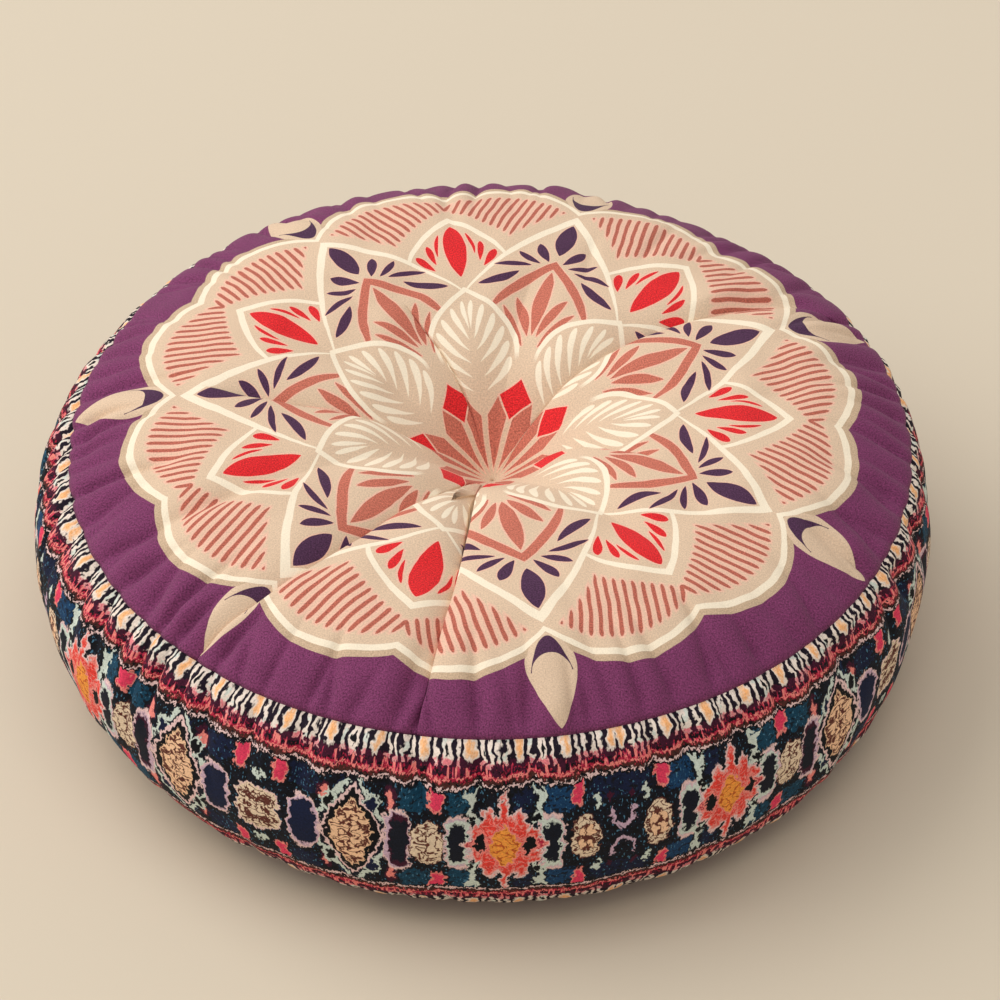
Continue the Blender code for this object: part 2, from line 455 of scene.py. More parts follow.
def linked(name, data):
    """An object of this name and data, in the scene."""
    thing = bpy.data.objects.new(name, data)
    bpy.context.scene.collection.objects.link(thing)
    return thing


def stitched_down(radius, bearing, rows):
    """Which of the coarse cushion's places the seams, the tuft and the creases hold."""
    held = np.zeros((rows, PUFF_SPOKES), dtype=bool)
    held[PUFF_TOP_RINGS - 1] = True
    held[-1] = True
    top = held[:PUFF_TOP_RINGS]
    top[radius < TUFT_RADIUS] = True
    for crease in DEEP_CREASES:
        across = np.abs(radius * turned_away(bearing, crease_bearing(crease, radius)))
        near = np.maximum(radius * np.pi / PUFF_SPOKES, CREASE_HOLD)
        top[(across < near) & (radius < crease.reach * MM)] = True
    return np.nonzero(held.reshape(-1))[0].tolist()


def blow_up(body, held):
    """Lets the pressure act on the coarse cushion, and returns where its places end up."""
    body.vertex_groups.new(name="stitched").add(held, 1.0, "REPLACE")
    cloth = body.modifiers.new("pressure", "CLOTH")
    cloth.settings.quality = 4
    cloth.settings.bending_stiffness = 0.5
    cloth.settings.use_pressure = True
    cloth.settings.uniform_pressure_force = PUFF_PRESSURE
    cloth.settings.vertex_group_mass = "stitched"
    cloth.settings.effector_weights.gravity = 0.0
    cloth.collision_settings.use_collision = False
    cloth.point_cache.frame_start = 1
    cloth.point_cache.frame_end = PUFF_FRAMES
    for number in range(1, PUFF_FRAMES + 1):
        bpy.context.scene.frame_set(number)
    blown = body.evaluated_get(bpy.context.evaluated_depsgraph_get()).data
    finish = np.empty(len(blown.vertices) * 3)
    blown.vertices.foreach_get("co", finish)
    return finish


def filling_puff():
    """How far the filling's pressure pushes the cloth: grids over the top and over the band."""
    rows = PUFF_TOP_RINGS + PUFF_BAND_ROWS - 1
    bearings = even_bearings(PUFF_SPOKES)
    shares = np.linspace(1.0, 0.0, PUFF_BAND_ROWS)[1:]
    radius, bearing = np.meshgrid(puff_radii(), bearings, indexing="ij")
    share, band_bearing = np.meshgrid(shares, bearings, indexing="ij")
    start = np.concatenate([top_surface(radius, bearing, detail=False),
                            band_surface(share, band_bearing, detail=False)])
    faces = ring_faces(rows, PUFF_SPOKES, True).tolist()
    faces.append(list(range(PUFF_SPOKES)))
    faces.append(list(range((rows - 1) * PUFF_SPOKES, rows * PUFF_SPOKES))[::-1])
    mesh = bpy.data.meshes.new("filling")
    mesh.from_pydata(start.reshape(-1, 3).tolist(), [], faces)
    body = linked("filling", mesh)
    moved = blow_up(body, stitched_down(radius, bearing, rows)).reshape(start.shape) - start
    bpy.data.objects.remove(body)
    bpy.data.meshes.remove(mesh)
    bpy.context.scene.frame_set(1)
    size = np.linalg.norm(moved, axis=-1, keepdims=True)
    moved *= np.minimum(1.0, PUFF_CAP / np.maximum(size, 0.001 * MM))
    for _ in range(PUFF_SMOOTHINGS):
        around = (np.roll(moved, 1, 1) + np.roll(moved, -1, 1)) * 0.25 + moved * 0.5
        moved[1:-1] = around[1:-1] * 0.6 + (around[:-2] + around[2:]) * 0.2
    moved[PUFF_TOP_RINGS - 1] = 0.0
    moved[-1] = 0.0
    return moved[:PUFF_TOP_RINGS], moved[PUFF_TOP_RINGS - 1:]


def spread_puff(grid, row, bearing):
    """The puff between the coarse grid's places, smooth from one to the next."""
    def weights(part):
        """Shares of the four nearest lines in a smooth curve through all of them."""
        return (-0.5 * part + part ** 2 - 0.5 * part ** 3,
                1.0 - 2.5 * part ** 2 + 1.5 * part ** 3,
                0.5 * part + 2.0 * part ** 2 - 1.5 * part ** 3,
                -0.5 * part ** 2 + 0.5 * part ** 3)

    spoke = (bearing / (2.0 * np.pi)) % 1.0 * PUFF_SPOKES
    row = np.clip(row, 0.0, grid.shape[0] - 1.001)
    first_row, first_spoke = np.floor(row).astype(int), np.floor(spoke).astype(int)
    total = np.zeros(row.shape + (3,))
    for step, row_weight in enumerate(weights(row - first_row)):
        at_row = np.clip(first_row + step - 1, 0, grid.shape[0] - 1)
        for turn, spoke_weight in enumerate(weights(spoke - first_spoke)):
            at_spoke = (first_spoke + turn - 1) % PUFF_SPOKES
            total += (row_weight * spoke_weight)[..., None] * grid[at_row, at_spoke]
    return total


# ---------------------------------------------------------------------------------------------
# Meshes
# ---------------------------------------------------------------------------------------------
# Mesh lines that run beside each deep crease: shares of its tuck, then millimetres beyond it.
TUCK_SHARES = (0.25, 0.5, 0.75, 1.0)
BESIDE_CREASE = (0.5, 1.2, 2.2, 3.6, 5.4, 7.6, 10.4)
LEAST_TUCK = 0.8
CROWDED_RADIUS = 60.0           # inside it, the lines beside a crease draw together
HIDDEN_UV = 0.06                # side of the corner of the map that the hidden faces share
HIDDEN_FACES_ACROSS = 200
HIDDEN_CELL = (0.1, 0.9)        # part of its own cell that a hidden face takes up
RING_EVEN_SHARE = 0.60          # the rest of the rings crowd towards the tuft and the seam
ROW_CROWDING = 0.06             # how much the band's rows crowd towards its seams
FULL_LINING_RINGS = 6
FOOT_ROLL_RINGS = 10
DISC_MARGIN = 1.02              # of a disc's place on its map


def crease_following_bearings(radii, spokes):
    """Bearings of the top's mesh lines on each ring, which run along the deep creases."""
    def tuck_on_rings(crease):
        return np.maximum(crease.tuck * crease_strength(crease, radii), LEAST_TUCK)

    creases = sorted(DEEP_CREASES, key=lambda crease: crease.seam_bearing % 360)
    beside = 1 + 2 * (len(TUCK_SHARES) + len(BESIDE_CREASE))
    open_spokes = spokes - beside * len(creases)
    seam_bearings = [crease.seam_bearing % 360 for crease in creases]
    gaps = np.diff(seam_bearings + [seam_bearings[0] + 360])
    counts = np.floor(gaps / 360.0 * open_spokes).astype(int)
    counts[-1] += open_spokes - counts.sum()
    columns = []
    for index, crease in enumerate(creases):
        following = creases[(index + 1) % len(creases)]
        tuck = tuck_on_rings(crease)
        offsets = [tuck * part for part in TUCK_SHARES] + [tuck + extra for extra in BESIDE_CREASE]
        scale = np.minimum(1.0, radii / (CROWDED_RADIUS * MM)) * MM / radii
        line = crease_bearing(crease, radii)
        next_line = line + (crease_bearing(following, radii) - line) % (2.0 * np.pi)
        columns += [line - offset * scale for offset in reversed(offsets)]
        columns.append(line)
        columns += [line + offset * scale for offset in offsets]
        begin = line + offsets[-1] * scale
        end = next_line - (tuck_on_rings(following) + BESIDE_CREASE[-1]) * scale
        steps = counts[index] + 1
        columns += [begin + (end - begin) * step / steps for step in range(1, steps)]
    return np.stack(columns, 1)


def outward_normals(places):
    """Unit normals of a grid of rings and spokes, closed round the spokes."""
    around = np.roll(places, -1, 1) - np.roll(places, 1, 1)
    outward = np.gradient(places, axis=0)
    normals = np.cross(outward, around)
    return normals / np.maximum(np.linalg.norm(normals, axis=-1, keepdims=True), 1e-12)


def lay_map(mesh, face, spokes, sheet_uv):
    """Gives the outer faces their places on the print's own map, and the rest a small corner."""
    total = len(mesh.polygons)
    uv = np.empty((total, 4, 2))
    spoke = np.arange(len(face)) % spokes
    for corner in range(4):
        at_ring, at_spoke = np.divmod(face[:, corner], spokes)
        wraps = (at_spoke == 0) & (spoke == spokes - 1)
        uv[:len(face), corner] = sheet_uv(at_ring, at_spoke + spokes * wraps, spoke)
    hidden = np.arange(total - len(face))
    column, row = hidden % HIDDEN_FACES_ACROSS, hidden // HIDDEN_FACES_ACROSS
    rows = len(hidden) // HIDDEN_FACES_ACROSS + 1
    for corner, (right, up) in enumerate(((0, 0), (1, 0), (1, 1), (0, 1))):
        across = (column + HIDDEN_CELL[right]) / HIDDEN_FACES_ACROSS
        uv[len(face):, corner, 0] = 1.0 - HIDDEN_UV + HIDDEN_UV * across
        uv[len(face):, corner, 1] = HIDDEN_UV * (row + HIDDEN_CELL[up]) / rows
    mesh.uv_layers.new(name="OFBake").data.foreach_set("uv", uv.reshape(-1))


def cloth_piece(name, places, cuts, lining_rows, sheet_uv, outward=True):
    """A closed sheet: the outer face on the full grid, and an inner face on some of its rings.

    The vertices carry where the cloth lay when it was cut, as the attribute "cut".
    """
    rows, spokes = places.shape[:2]
    normals = outward_normals(places) * (1.0 if outward else -1.0)
    inner = (places - normals * CLOTH_THICKNESS)[lining_rows]
    count = rows * spokes
    face = ring_faces(rows, spokes, outward)
    inner_face = ring_faces(len(lining_rows), spokes, not outward) + count
    turn = np.arange(spokes)
    after = (turn + 1) % spokes
    last, inner_last = (rows - 1) * spokes, count + (len(lining_rows) - 1) * spokes
    rims = []
    for edge, inner_edge, flip in ((0, count, outward), (last, inner_last, not outward)):
        corners = (edge + turn, edge + after, inner_edge + after, inner_edge + turn)
        rims.append(np.stack(corners if flip else corners[::-1], -1))
    faces = np.concatenate([face, inner_face] + rims)
    vertices = np.concatenate([places.reshape(-1, 3), inner.reshape(-1, 3)])
    mesh = bpy.data.meshes.new(name)
    mesh.from_pydata(vertices.tolist(), [], faces.tolist())
    cut = mesh.attributes.new("cut", "FLOAT_VECTOR", "POINT")
    both = np.concatenate([cuts.reshape(-1, 3), cuts[lining_rows].reshape(-1, 3)])
    cut.data.foreach_set("vector", both.reshape(-1).astype(np.float32))
    lay_map(mesh, face, spokes, sheet_uv)
    mesh.shade_smooth()
    return linked(name, mesh)


def lining(rows, step):
    """Rings that the inner face uses: some of the grid's, and all of those next to the seam."""
    return sorted(set(range(0, rows, step)) | set(range(rows - FULL_LINING_RINGS, rows)))


def disc_uv(cuts, radius):
    flat = cuts[..., :2] / (2.0 * DISC_MARGIN * radius) + 0.5
    return lambda ring, spoke, _: flat[ring, spoke % cuts.shape[1]]


def top_piece(puff):
    share = np.linspace(0.0, 1.0, TOP_RINGS)
    crowded = 0.5 - 0.5 * np.cos(np.pi * share)
    radii = SEAM_RADIUS * (RING_EVEN_SHARE * share + (1.0 - RING_EVEN_SHARE) * crowded)
    radii[0] = TINY_RADIUS
    bearing = crease_following_bearings(radii, TOP_SPOKES)
    radius = np.repeat(radii[:, None], TOP_SPOKES, 1)
    row = (radius - puff_radii()[0]) / (puff_radii()[1] - puff_radii()[0])
    places = top_surface(radius, bearing, spread_puff(puff, row, bearing))
    cuts = on_circle(radius, bearing, np.zeros_like(radius))
    return cloth_piece("top_cloth", places, cuts, lining(TOP_RINGS, 6), disc_uv(cuts, SEAM_RADIUS))


def band_piece(puff):
    share = np.linspace(1.0, 0.0, BAND_ROWS)
    share = share + ROW_CROWDING * np.sin(2.0 * np.pi * share)
    share, bearing = np.meshgrid(share, even_bearings(BAND_SPOKES), indexing="ij")
    row = (1.0 - share) * (PUFF_BAND_ROWS - 1)
    places = band_surface(share, bearing, spread_puff(puff, row, bearing))
    off_middle = (2.0 * share - 1.0) * HALF_BAND - PRINT_MIDDLE
    stretch = np.where(off_middle < 0.0, LOWER_PRINT_STRETCH, UPPER_PRINT_STRETCH)
    cuts = on_circle(BAND_RADIUS, bearing, off_middle * MM * stretch)
    per_strip = BAND_SPOKES // REPEATS

    def strip_uv(ring, spoke, face_spoke):
        """The band's map: one strip above another, each a repeat of the print long."""
        strip = face_spoke // per_strip
        along = (spoke - strip * per_strip) / per_strip
        up = strip + 0.03 + 0.94 * (1.0 - ring / (BAND_ROWS - 1))
        return np.stack([0.01 + 0.92 * along, up / REPEATS], -1)

    return cloth_piece("band_cloth", places, cuts, lining(BAND_ROWS, 2), strip_uv)


def foot_piece():
    flat = np.linspace(TINY_RADIUS, REST_RADIUS, FOOT_RINGS - FOOT_ROLL_RINGS + 1)
    roll = np.linspace(REST_RADIUS, FOOT_SEAM_RADIUS, FOOT_ROLL_RINGS)
    radii = np.concatenate([flat, roll[1:]])
    radius, bearing = np.meshgrid(radii, even_bearings(FOOT_SPOKES), indexing="ij")
    cuts = on_circle(radius, bearing, np.zeros_like(radius))
    return cloth_piece("foot_cloth", foot_surface(radius, bearing), cuts, lining(FOOT_RINGS, 1),
                       disc_uv(cuts, FOOT_SEAM_RADIUS), False)


# ---------------------------------------------------------------------------------------------
# Shader arithmetic
# ---------------------------------------------------------------------------------------------
class Number:
    """A number that varies over the cloth: a socket that Math nodes join to others."""

    def __init__(self, tree, socket):
        self.tree = tree
        self.socket = socket

    def __add__(self, other):
        return worked(self.tree, "ADD", self, other)

    def __sub__(self, other):
        return worked(self.tree, "SUBTRACT", self, other)

    def __rsub__(self, other):
        return worked(self.tree, "SUBTRACT", other, self)

    def __mul__(self, other):
        return worked(self.tree, "MULTIPLY", self, other)

    def __truediv__(self, other):
        return worked(self.tree, "DIVIDE", self, other)

    def __pow__(self, other):
        return worked(self.tree, "POWER", self, other)

    def __abs__(self):
        return worked(self.tree, "ABSOLUTE", self)

    __radd__ = __add__
    __rmul__ = __mul__


def fill_socket(tree, socket, term):
    if isinstance(term, Number):
        tree.links.new(term.socket, socket)
    elif hasattr(term, "is_output"):
        tree.links.new(term, socket)
    else:
        socket.default_value = term[:3] if socket.type == "VECTOR" else term


def worked(tree, operation, *terms, clamp=False):
    node = tree.nodes.new("ShaderNodeMath")
    node.operation = operation
    node.use_clamp = clamp
    for socket, term in zip(node.inputs, terms):
        fill_socket(tree, socket, term)
    return Number(tree, node.outputs[0])


def low(one, other):
    return worked(one.tree, "MINIMUM", one, other)


def high(one, other):
    return worked(one.tree, "MAXIMUM", one, other)


def sine(angle):
    return worked(angle.tree, "SINE", angle)


def cosine(angle):
    return worked(angle.tree, "COSINE", angle)


def wrapped(number, lowest, highest):
    return worked(number.tree, "WRAP", number, highest, lowest)


def inside(depth, softness):
    """Mask that is 1 where the depth is over zero, with an edge as soft as stated."""
    return worked(depth.tree, "MULTIPLY_ADD", depth, 1.0 / softness, 0.5, clamp=True)


class Print:
    """The colour of a printed cloth at a place, laid on coat over coat."""

    def __init__(self, tree, ground, edge):
        self.tree = tree
        self.colour = ground
        self.edge = edge

    def lay(self, colour, depth, edge=None, share=None):
        """Lays a colour where the depth is over zero, and thins it to a share."""
        mask = inside(depth, edge or self.edge)
        if share is not None:
            mask = mask * share
        mix = self.tree.nodes.new("ShaderNodeMix")
        mix.data_type = "RGBA"
        fill_socket(self.tree, mix.inputs[0], mask)
        fill_socket(self.tree, mix.inputs[6], self.colour)
        fill_socket(self.tree, mix.inputs[7], colour)
        self.colour = mix.outputs[2]


def deepest(depths):
    """Depth inside the nearest of several shapes."""
    return functools.reduce(high, depths)


def lined(depth_outside, depth_inside):
    """Depth inside the line between an outline and a smaller one within it."""
    return low(depth_outside, depth_inside * -1.0)


def parted(tree, vector):
    """The three parts of a place or colour, as Numbers."""
    split = tree.nodes.new("ShaderNodeSeparateXYZ")
    tree.links.new(vector, split.inputs[0])
    return [Number(tree, socket) for socket in split.outputs]


def new_group(name, inputs, outputs):
    """An empty node group whose inputs are numbers, but for "Place", and its inputs as Numbers."""
    tree = bpy.data.node_groups.new(name, "ShaderNodeTree")
    for label in inputs:
        kind = "NodeSocketVector" if label == "Place" else "NodeSocketFloat"
        tree.interface.new_socket(label, in_out="INPUT", socket_type=kind)
    for label in outputs:
        tree.interface.new_socket(label, in_out="OUTPUT", socket_type="NodeSocketFloat")
    entry = tree.nodes.new("NodeGroupInput")
    numbers = [Number(tree, socket) for socket in entry.outputs[:len(inputs)]]
    return tree, numbers


def finish_group(tree, *results):
    leave = tree.nodes.new("NodeGroupOutput")
    for socket, result in zip(leave.inputs, results):
        fill_socket(tree, socket, result)
    return tree


def placed(tree, group, *values):
    """Puts a group into a tree with the given input values, and returns its first output."""
    node = tree.nodes.new("ShaderNodeGroup")
    node.node_tree = group
    for socket, value in zip(node.inputs, values):
        fill_socket(tree, socket, value)
    return Number(tree, node.outputs[0])


def linear(red, green, blue):
    """Colour as seen, 0 to 255, in the shader's linear values."""
    def channel(value):
        value = value / 255.0
        return value / 12.92 if value <= 0.04045 else ((value + 0.055) / 1.055) ** 2.4
    return (channel(red), channel(green), channel(blue), 1.0)


def leaf_group():
    """A leaf or stroke: how deep inside its outline a place is, in the unit of its sizes."""
    names = ("Along", "Across", "From Along", "From Across", "Heading", "Length", "Half Width",
             "Bend", "Lean", "Blunt")
    tree, numbers = new_group("leaf mark", names, ("Depth",))
    along, across, from_along, from_across, heading, length, half_width, bend, lean, blunt = numbers
    ahead = along - from_along
    beside = across - from_across
    turn_cosine = cosine(heading)
    turn_sine = sine(heading)
    share = (ahead * turn_cosine + beside * turn_sine) / length
    offset = beside * turn_cosine - ahead * turn_sine
    belly = share * (1.0 - share) * 4.0
    offset = offset - bend * belly
    full = high(belly, 0.0) ** blunt
    width = half_width * full * (1.0 + lean * (share - 0.5)) + low(belly, 0.0) * length
    return finish_group(tree, width - abs(offset))


def petal_group():
    """A pointed petal round the Along axis: how deep inside it a place is."""
    tree, (along, across, apex, spread, curl) = new_group(
        "pointed petal", ("Along", "Across", "Apex", "Spread", "Curl"), ("Depth",))
    back = apex - along
    return finish_group(tree, back * spread - back * back * curl - abs(across))


def mark_group():
    """A knotted mark: how many millimetres inside its outline a place is."""
    names = ("Around", "Off Middle", "At Around", "At Off Middle", "Half Wide", "Half Tall", "Power")
    tree, (around, off_middle, at_around, at_off, half_wide, half_tall, power) = new_group(
        "knotted mark", names, ("Depth",))
    wide = (abs(around - at_around) / half_wide) ** power
    tall = (abs(off_middle - at_off) / half_tall) ** power
    reach = (wide + tall) ** worked(tree, "DIVIDE", 1.0, power)
    return finish_group(tree, (1.0 - reach) * low(half_wide, half_tall))


def noise_value(tree, place, scale, detail=2.0, roughness=0.5, channel="Fac"):
    noise = tree.nodes.new("ShaderNodeTexNoise")
    fill_socket(tree, noise.inputs["Vector"], place)
    fill_socket(tree, noise.inputs["Scale"], scale)
    noise.inputs["Detail"].default_value = detail
    noise.inputs["Roughness"].default_value = roughness
    return noise.outputs[channel]


def noise_number(tree, place, scale, detail=2.0, roughness=0.5):
    """Noise as a Number round zero."""
    return Number(tree, noise_value(tree, place, scale, detail, roughness)) - 0.5


def noise_numbers(tree, place, scale, roughness):
    """Three noises that have nothing to do with one another, each round zero."""
    colour = noise_value(tree, place, scale, 2.0, roughness, "Color")
    return [part - 0.5 for part in parted(tree, colour)]


def placed_vector(tree, operation, *terms):
    """A Vector Math node's result: the place it makes out of its terms."""
    node = tree.nodes.new("ShaderNodeVectorMath")
    node.operation = operation
    sockets = [node.inputs[0], node.inputs["Scale"]] if operation == "SCALE" else node.inputs
    for socket, term in zip(sockets, terms):
        fill_socket(tree, socket, term)
    return node.outputs[0]


def joined(tree, x, y):
    """A place made of two Numbers."""
    node = tree.nodes.new("ShaderNodeCombineXYZ")
    fill_socket(tree, node.inputs[0], x)
    fill_socket(tree, node.inputs[1], y)
    return node.outputs[0]


# ---------------------------------------------------------------------------------------------
# Top print: a seven-fold rosette. Lengths in millimetres of flat cloth.
# ---------------------------------------------------------------------------------------------
FOLDS = 7
HALF_SECTOR = math.pi / FOLDS
TIP_BEARING = math.radians(22.0)

PURPLE = linear(122, 56, 96)
TAUPE = linear(223, 194, 165)
RIM_TAUPE = linear(204, 176, 146)
CREAM = linear(250, 234, 208)
CORAL = linear(198, 112, 92)
ROSE_BROWN = linear(184, 101, 83)
BLUSH = linear(240, 190, 166)
RED = linear(222, 40, 44)
PLUM = linear(78, 46, 74)

# A leaf from its foot to its tip, in millimetres. "bend" bows it sideways, "lean" moves its widest
# place towards the tip, and "blunt" under one rounds its ends.
Leaf = namedtuple("Leaf", "foot_along foot_across tip_along tip_across half_width bend lean blunt")
PLUM_SPRAY = (
    Leaf(162, 0, 199, 0, 6.8, 0, 0.1, 0.85),
    Leaf(154, 5, 172, 17, 3.4, 0.6, 0.7, 0.8),
    Leaf(151, 10, 160, 28, 2.5, 0.8, 0.4, 0.8),
    Leaf(148, 15, 141, 41, 2.3, -1.2, 0.0, 0.8),
    Leaf(140, 22, 120, 46, 3.5, 1.6, 0.2, 0.8),
)
CORAL_SPRIG = (
    Leaf(87, 0, 145, 0, 5.3, 0, 0.4, 1.0),
    Leaf(86, 3.0, 118, 17.5, 3.3, -1.2, 0.4, 0.9),
    Leaf(78, 5.0, 107, 24, 2.4, -1.0, 0.2, 0.85),
)
SEED = Leaf(136, 0, 191, 0, 7.8, 0, 0.5, 0.8)
SEED_RAYS = (
    Leaf(159, 13, 181, 10, 1.3, 1.2, 0.4, 0.7),
    Leaf(151, 15, 171, 19, 2.2, 0.5, 1.0, 0.7),
    Leaf(145, 17, 160, 28, 2.8, 0.3, 1.0, 0.65),
    Leaf(142, 20, 147, 35, 2.4, -0.3, 1.0, 0.65),
)
RIBS = (
    Leaf(88, 0.7, 113, 3.2, 1.4, 0, 1.3, 0.6),
    Leaf(80, 1.6, 107.5, 10.5, 1.7, 0.8, 1.3, 0.55),
    Leaf(71, 2.2, 99, 17.5, 1.85, 1.4, 1.3, 0.55),
    Leaf(62, 2.8, 89, 21.8, 1.9, 1.8, 1.3, 0.55),
    Leaf(53, 3.4, 78, 23.0, 1.85, 2.0, 1.3, 0.55),
    Leaf(45, 4.0, 66, 21.5, 1.7, 1.9, 1.3, 0.55),
)
TEARDROP = Leaf(218, 0, 277, 0, 15.4, 0, -0.75, 0.74)

# Pointed petals: how far out the apex is, and how the sides leave it.
Petal = namedtuple("Petal", "apex spread curl")
SPRAY_PETAL = Petal(210.5, 0.86, 0.0033)
SPRAY_PETAL_INSIDE = Petal(201.5, 0.86, 0.0032)
SEED_PETAL = Petal(202.0, 1.27, 0.0112)
SEED_PETAL_INSIDE = Petal(196.0, 1.24, 0.0110)
ARCH = Petal(155.5, 1.12, 0.0098)
ARCH_INSIDE = Petal(148.0, 0.90, 0.0056)
RIB_LEAF = Petal(126.0, 1.25, 0.0135)
RIB_LEAF_INSIDE = Petal(121.3, 1.17, 0.0133)


# Where each petal's outline starts, and how fast it widens from there
LineStart = namedtuple("LineStart", "at taper")
SPRAY_LINE = LineStart(112.0, 0.07)
SEED_LINE = LineStart(139.0, 0.09)
RIB_LINE = LineStart(66.0, 0.06)
SPRAY_FOOT = 100.0
RIB_FOOT = 62.0
ARCH_FOOT, ARCH_SPLAY = 112.0, 0.25

# The rosette's edge stands furthest out at a bearing between the teardrop and the next one
SCALLOP_RADIUS = 249.0
SCALLOP_DEGREES = 14.5
FALL_TO_DROP = 0.128
FALL_TO_GAP = 0.090
RIM_WIDTH = 5.0
EDGE_LINE = (4.6, 9.2)          # from and to, inside the rim

# Dark moon in each teardrop: a bowl with a round bite out of it
MOON_FOOT, MOON_TIP = 221.0, 245.0
MOON_OPENING, MOON_FLATNESS = 7.4, 16.0
BITE_AT, BITE_RADIUS = 246.0, 12.6

# Hatched lobes: how far they keep from their neighbours, and the run of the strokes
LOBE_FROM_EDGE, LOBE_FROM_SPRAY, LOBE_FROM_SEED = 17.5, 12.0, 13.0
SPRAY_SHARE, SEED_SHARE = -0.8, -0.75
HATCH_AT, HATCH_SLANT, HATCH_FAN = 205.0, 0.16, 0.0022
HATCH_HALF_STEP = 3.1
STROKE_WIDTH = 1.35

# Star round the tuft: fourteen kites and seven diamonds
KITE_FOOT, KITE_TIP = 6.5, 42.0
KITE_OPENING, KITE_CLOSING = 0.212, 0.45
DIAMOND_AT, DIAMOND_HALF_WIDTH, DIAMOND_HALF_LENGTH = 42.0, 8.8, 12.0
PRINT_EDGE = 0.25
HALO_EDGE = 1.0
STAR_HALO_EDGE = 0.6


def rosette(tree, place, leaf_mark, petal_mark):
    """Colour of the top print at a place on the flat cloth, given in millimetres."""
    x, y, _ = parted(tree, place)
    radius = (x * x + y * y) ** 0.5
    bearing = worked(tree, "ARCTAN2", y, x) - TIP_BEARING

    def folded(turn, half_fold):
        """Distances along and across the nearest axis of a repeat that is turned this far."""
        from_axis = wrapped(bearing - turn, -half_fold, half_fold)
        return from_axis, (radius * cosine(from_axis), abs(radius * sine(from_axis)))

    from_tip, on_tip = folded(0.0, HALF_SECTOR)
    _, on_gap = folded(HALF_SECTOR, HALF_SECTOR)
    _, on_kite = folded(HALF_SECTOR * 0.5, HALF_SECTOR * 0.5)
    along, across = on_tip

    def petal_depth(axes, petal):
        return placed(tree, petal_mark, *axes, *petal)

    def petal_line(axes, petal, petal_inside, start):
        line = lined(petal_depth(axes, petal), petal_depth(axes, petal_inside))
        return low(line, (axes[0] - start.at) * start.taper)

    def leaf_depth(axes, leaf):
        run = leaf.tip_along - leaf.foot_along
        rise = leaf.tip_across - leaf.foot_across
        sizes = (leaf.foot_along, leaf.foot_across, math.atan2(rise, run), math.hypot(run, rise),
                 leaf.half_width, leaf.bend, leaf.lean, leaf.blunt)
        return placed(tree, leaf_mark, *axes, *[float(size) for size in sizes])

    def leaves_depth(axes, leaves):
        return deepest([leaf_depth(axes, leaf) for leaf in leaves])

    # Scalloped edge of the rosette, teardrops and their moons
    swing = abs(from_tip) * (180.0 / math.pi) - SCALLOP_DEGREES
    to_drop, to_gap = low(swing, 0.0), high(swing, 0.0)
    scallop = SCALLOP_RADIUS - to_drop * to_drop * FALL_TO_DROP - to_gap * to_gap * FALL_TO_GAP - radius
    drop = leaf_depth(on_tip, TEARDROP)
    top = Print(tree, PURPLE, PRINT_EDGE)
    top.lay(TAUPE, drop)
    top.lay(RIM_TAUPE, scallop)
    top.lay(TAUPE, high(scallop - RIM_WIDTH, drop - 1.0))
    bowl = ((along - MOON_FOOT) * MOON_OPENING - across * across) / MOON_FLATNESS
    beyond = along - BITE_AT
    bite = (beyond * beyond + across * across) ** 0.5 - BITE_RADIUS
    top.lay(PLUM, low(low(bowl, bite), MOON_TIP - along))
    top.lay(CREAM, low(scallop - EDGE_LINE[0], EDGE_LINE[1] - scallop))

    # Hatched lobes
    spray_petal = petal_depth(on_tip, SPRAY_PETAL)
    seed_petal = petal_depth(on_gap, SEED_PETAL)
    from_spray = (spray_petal + LOBE_FROM_SPRAY) * SPRAY_SHARE
    from_seed = (seed_petal + LOBE_FROM_SEED) * SEED_SHARE
    lobe = low(scallop - LOBE_FROM_EDGE, low(from_spray, from_seed))
    hatch = across + (along - HATCH_AT) * (HATCH_SLANT - across * HATCH_FAN)
    stripe = abs(wrapped(hatch + 0.5, -HATCH_HALF_STEP, HATCH_HALF_STEP))
    swelling = worked(tree, "MULTIPLY_ADD", lobe, 0.35, 0.1, clamp=True) ** 0.5
    stroke = swelling * STROKE_WIDTH - stripe
    top.lay(BLUSH, low(lobe + 1.2, stroke + 1.5), 1.6)
    top.lay(ROSE_BROWN, low(lobe, stroke), 0.5)

    # Petal with the red seed
    top.lay(CREAM, petal_line(on_gap, SEED_PETAL, SEED_PETAL_INSIDE, SEED_LINE))
    seed = leaves_depth(on_gap, (SEED,) + SEED_RAYS)
    top.lay(BLUSH, seed + 1.2, HALO_EDGE)
    top.lay(RED, seed)

    # Pointed petal with the plum spray, the coral arch and the coral sprig
    top.lay(TAUPE, low(spray_petal, along - SPRAY_FOOT))
    top.lay(CREAM, petal_line(on_tip, SPRAY_PETAL, SPRAY_PETAL_INSIDE, SPRAY_LINE))
    spray = leaves_depth(on_tip, PLUM_SPRAY)
    top.lay(BLUSH, spray + 0.7, HALO_EDGE)
    top.lay(PLUM, spray)
    arch = lined(petal_depth(on_tip, ARCH), petal_depth(on_tip, ARCH_INSIDE))
    arch = low(arch, along + across * ARCH_SPLAY - ARCH_FOOT)
    coral = high(arch, leaves_depth(on_tip, CORAL_SPRIG))
    top.lay(BLUSH, coral + 1.0, HALO_EDGE)
    top.lay(CORAL, coral)

    # Ribbed leaf
    top.lay(TAUPE, low(petal_depth(on_gap, RIB_LEAF), on_gap[0] - RIB_FOOT))
    ribs = leaves_depth(on_gap, RIBS)
    top.lay(CREAM, high(petal_line(on_gap, RIB_LEAF, RIB_LEAF_INSIDE, RIB_LINE), ribs), 0.4)

